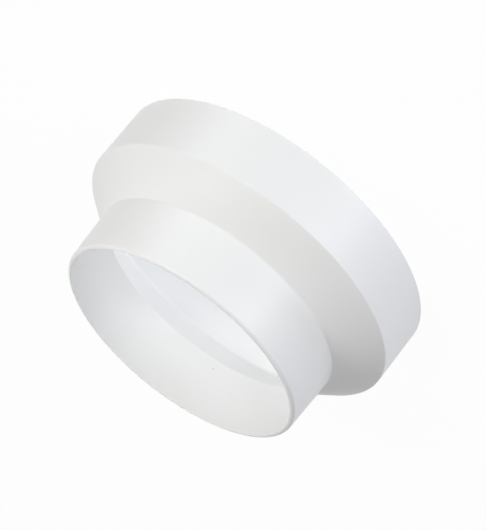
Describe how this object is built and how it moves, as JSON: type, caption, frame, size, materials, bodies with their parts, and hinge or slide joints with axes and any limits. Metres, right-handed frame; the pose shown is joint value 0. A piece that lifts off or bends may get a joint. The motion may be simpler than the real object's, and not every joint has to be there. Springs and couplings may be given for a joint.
{
  "type": "duct reducer",
  "caption": "Round moulded plastic duct reducer: a short wide spigot, a conical shoulder and a short narrow spigot that join a wide ventilation duct to a narrow duct.",
  "frame": {"origin": "centre of the wide mouth, in the plane of its rim, which the reducer stands on", "axes": "+Z along the duct axis, from the wide mouth to the narrow mouth; X and Y are any two square directions across it"},
  "size_m": [0.159, 0.159, 0.073],
  "materials": {
    "white_plastic": "satin white, as moulded"
  },
  "bodies": {
    "root": {"reducer_body": "white_plastic"}
  },
  "joints": []
}
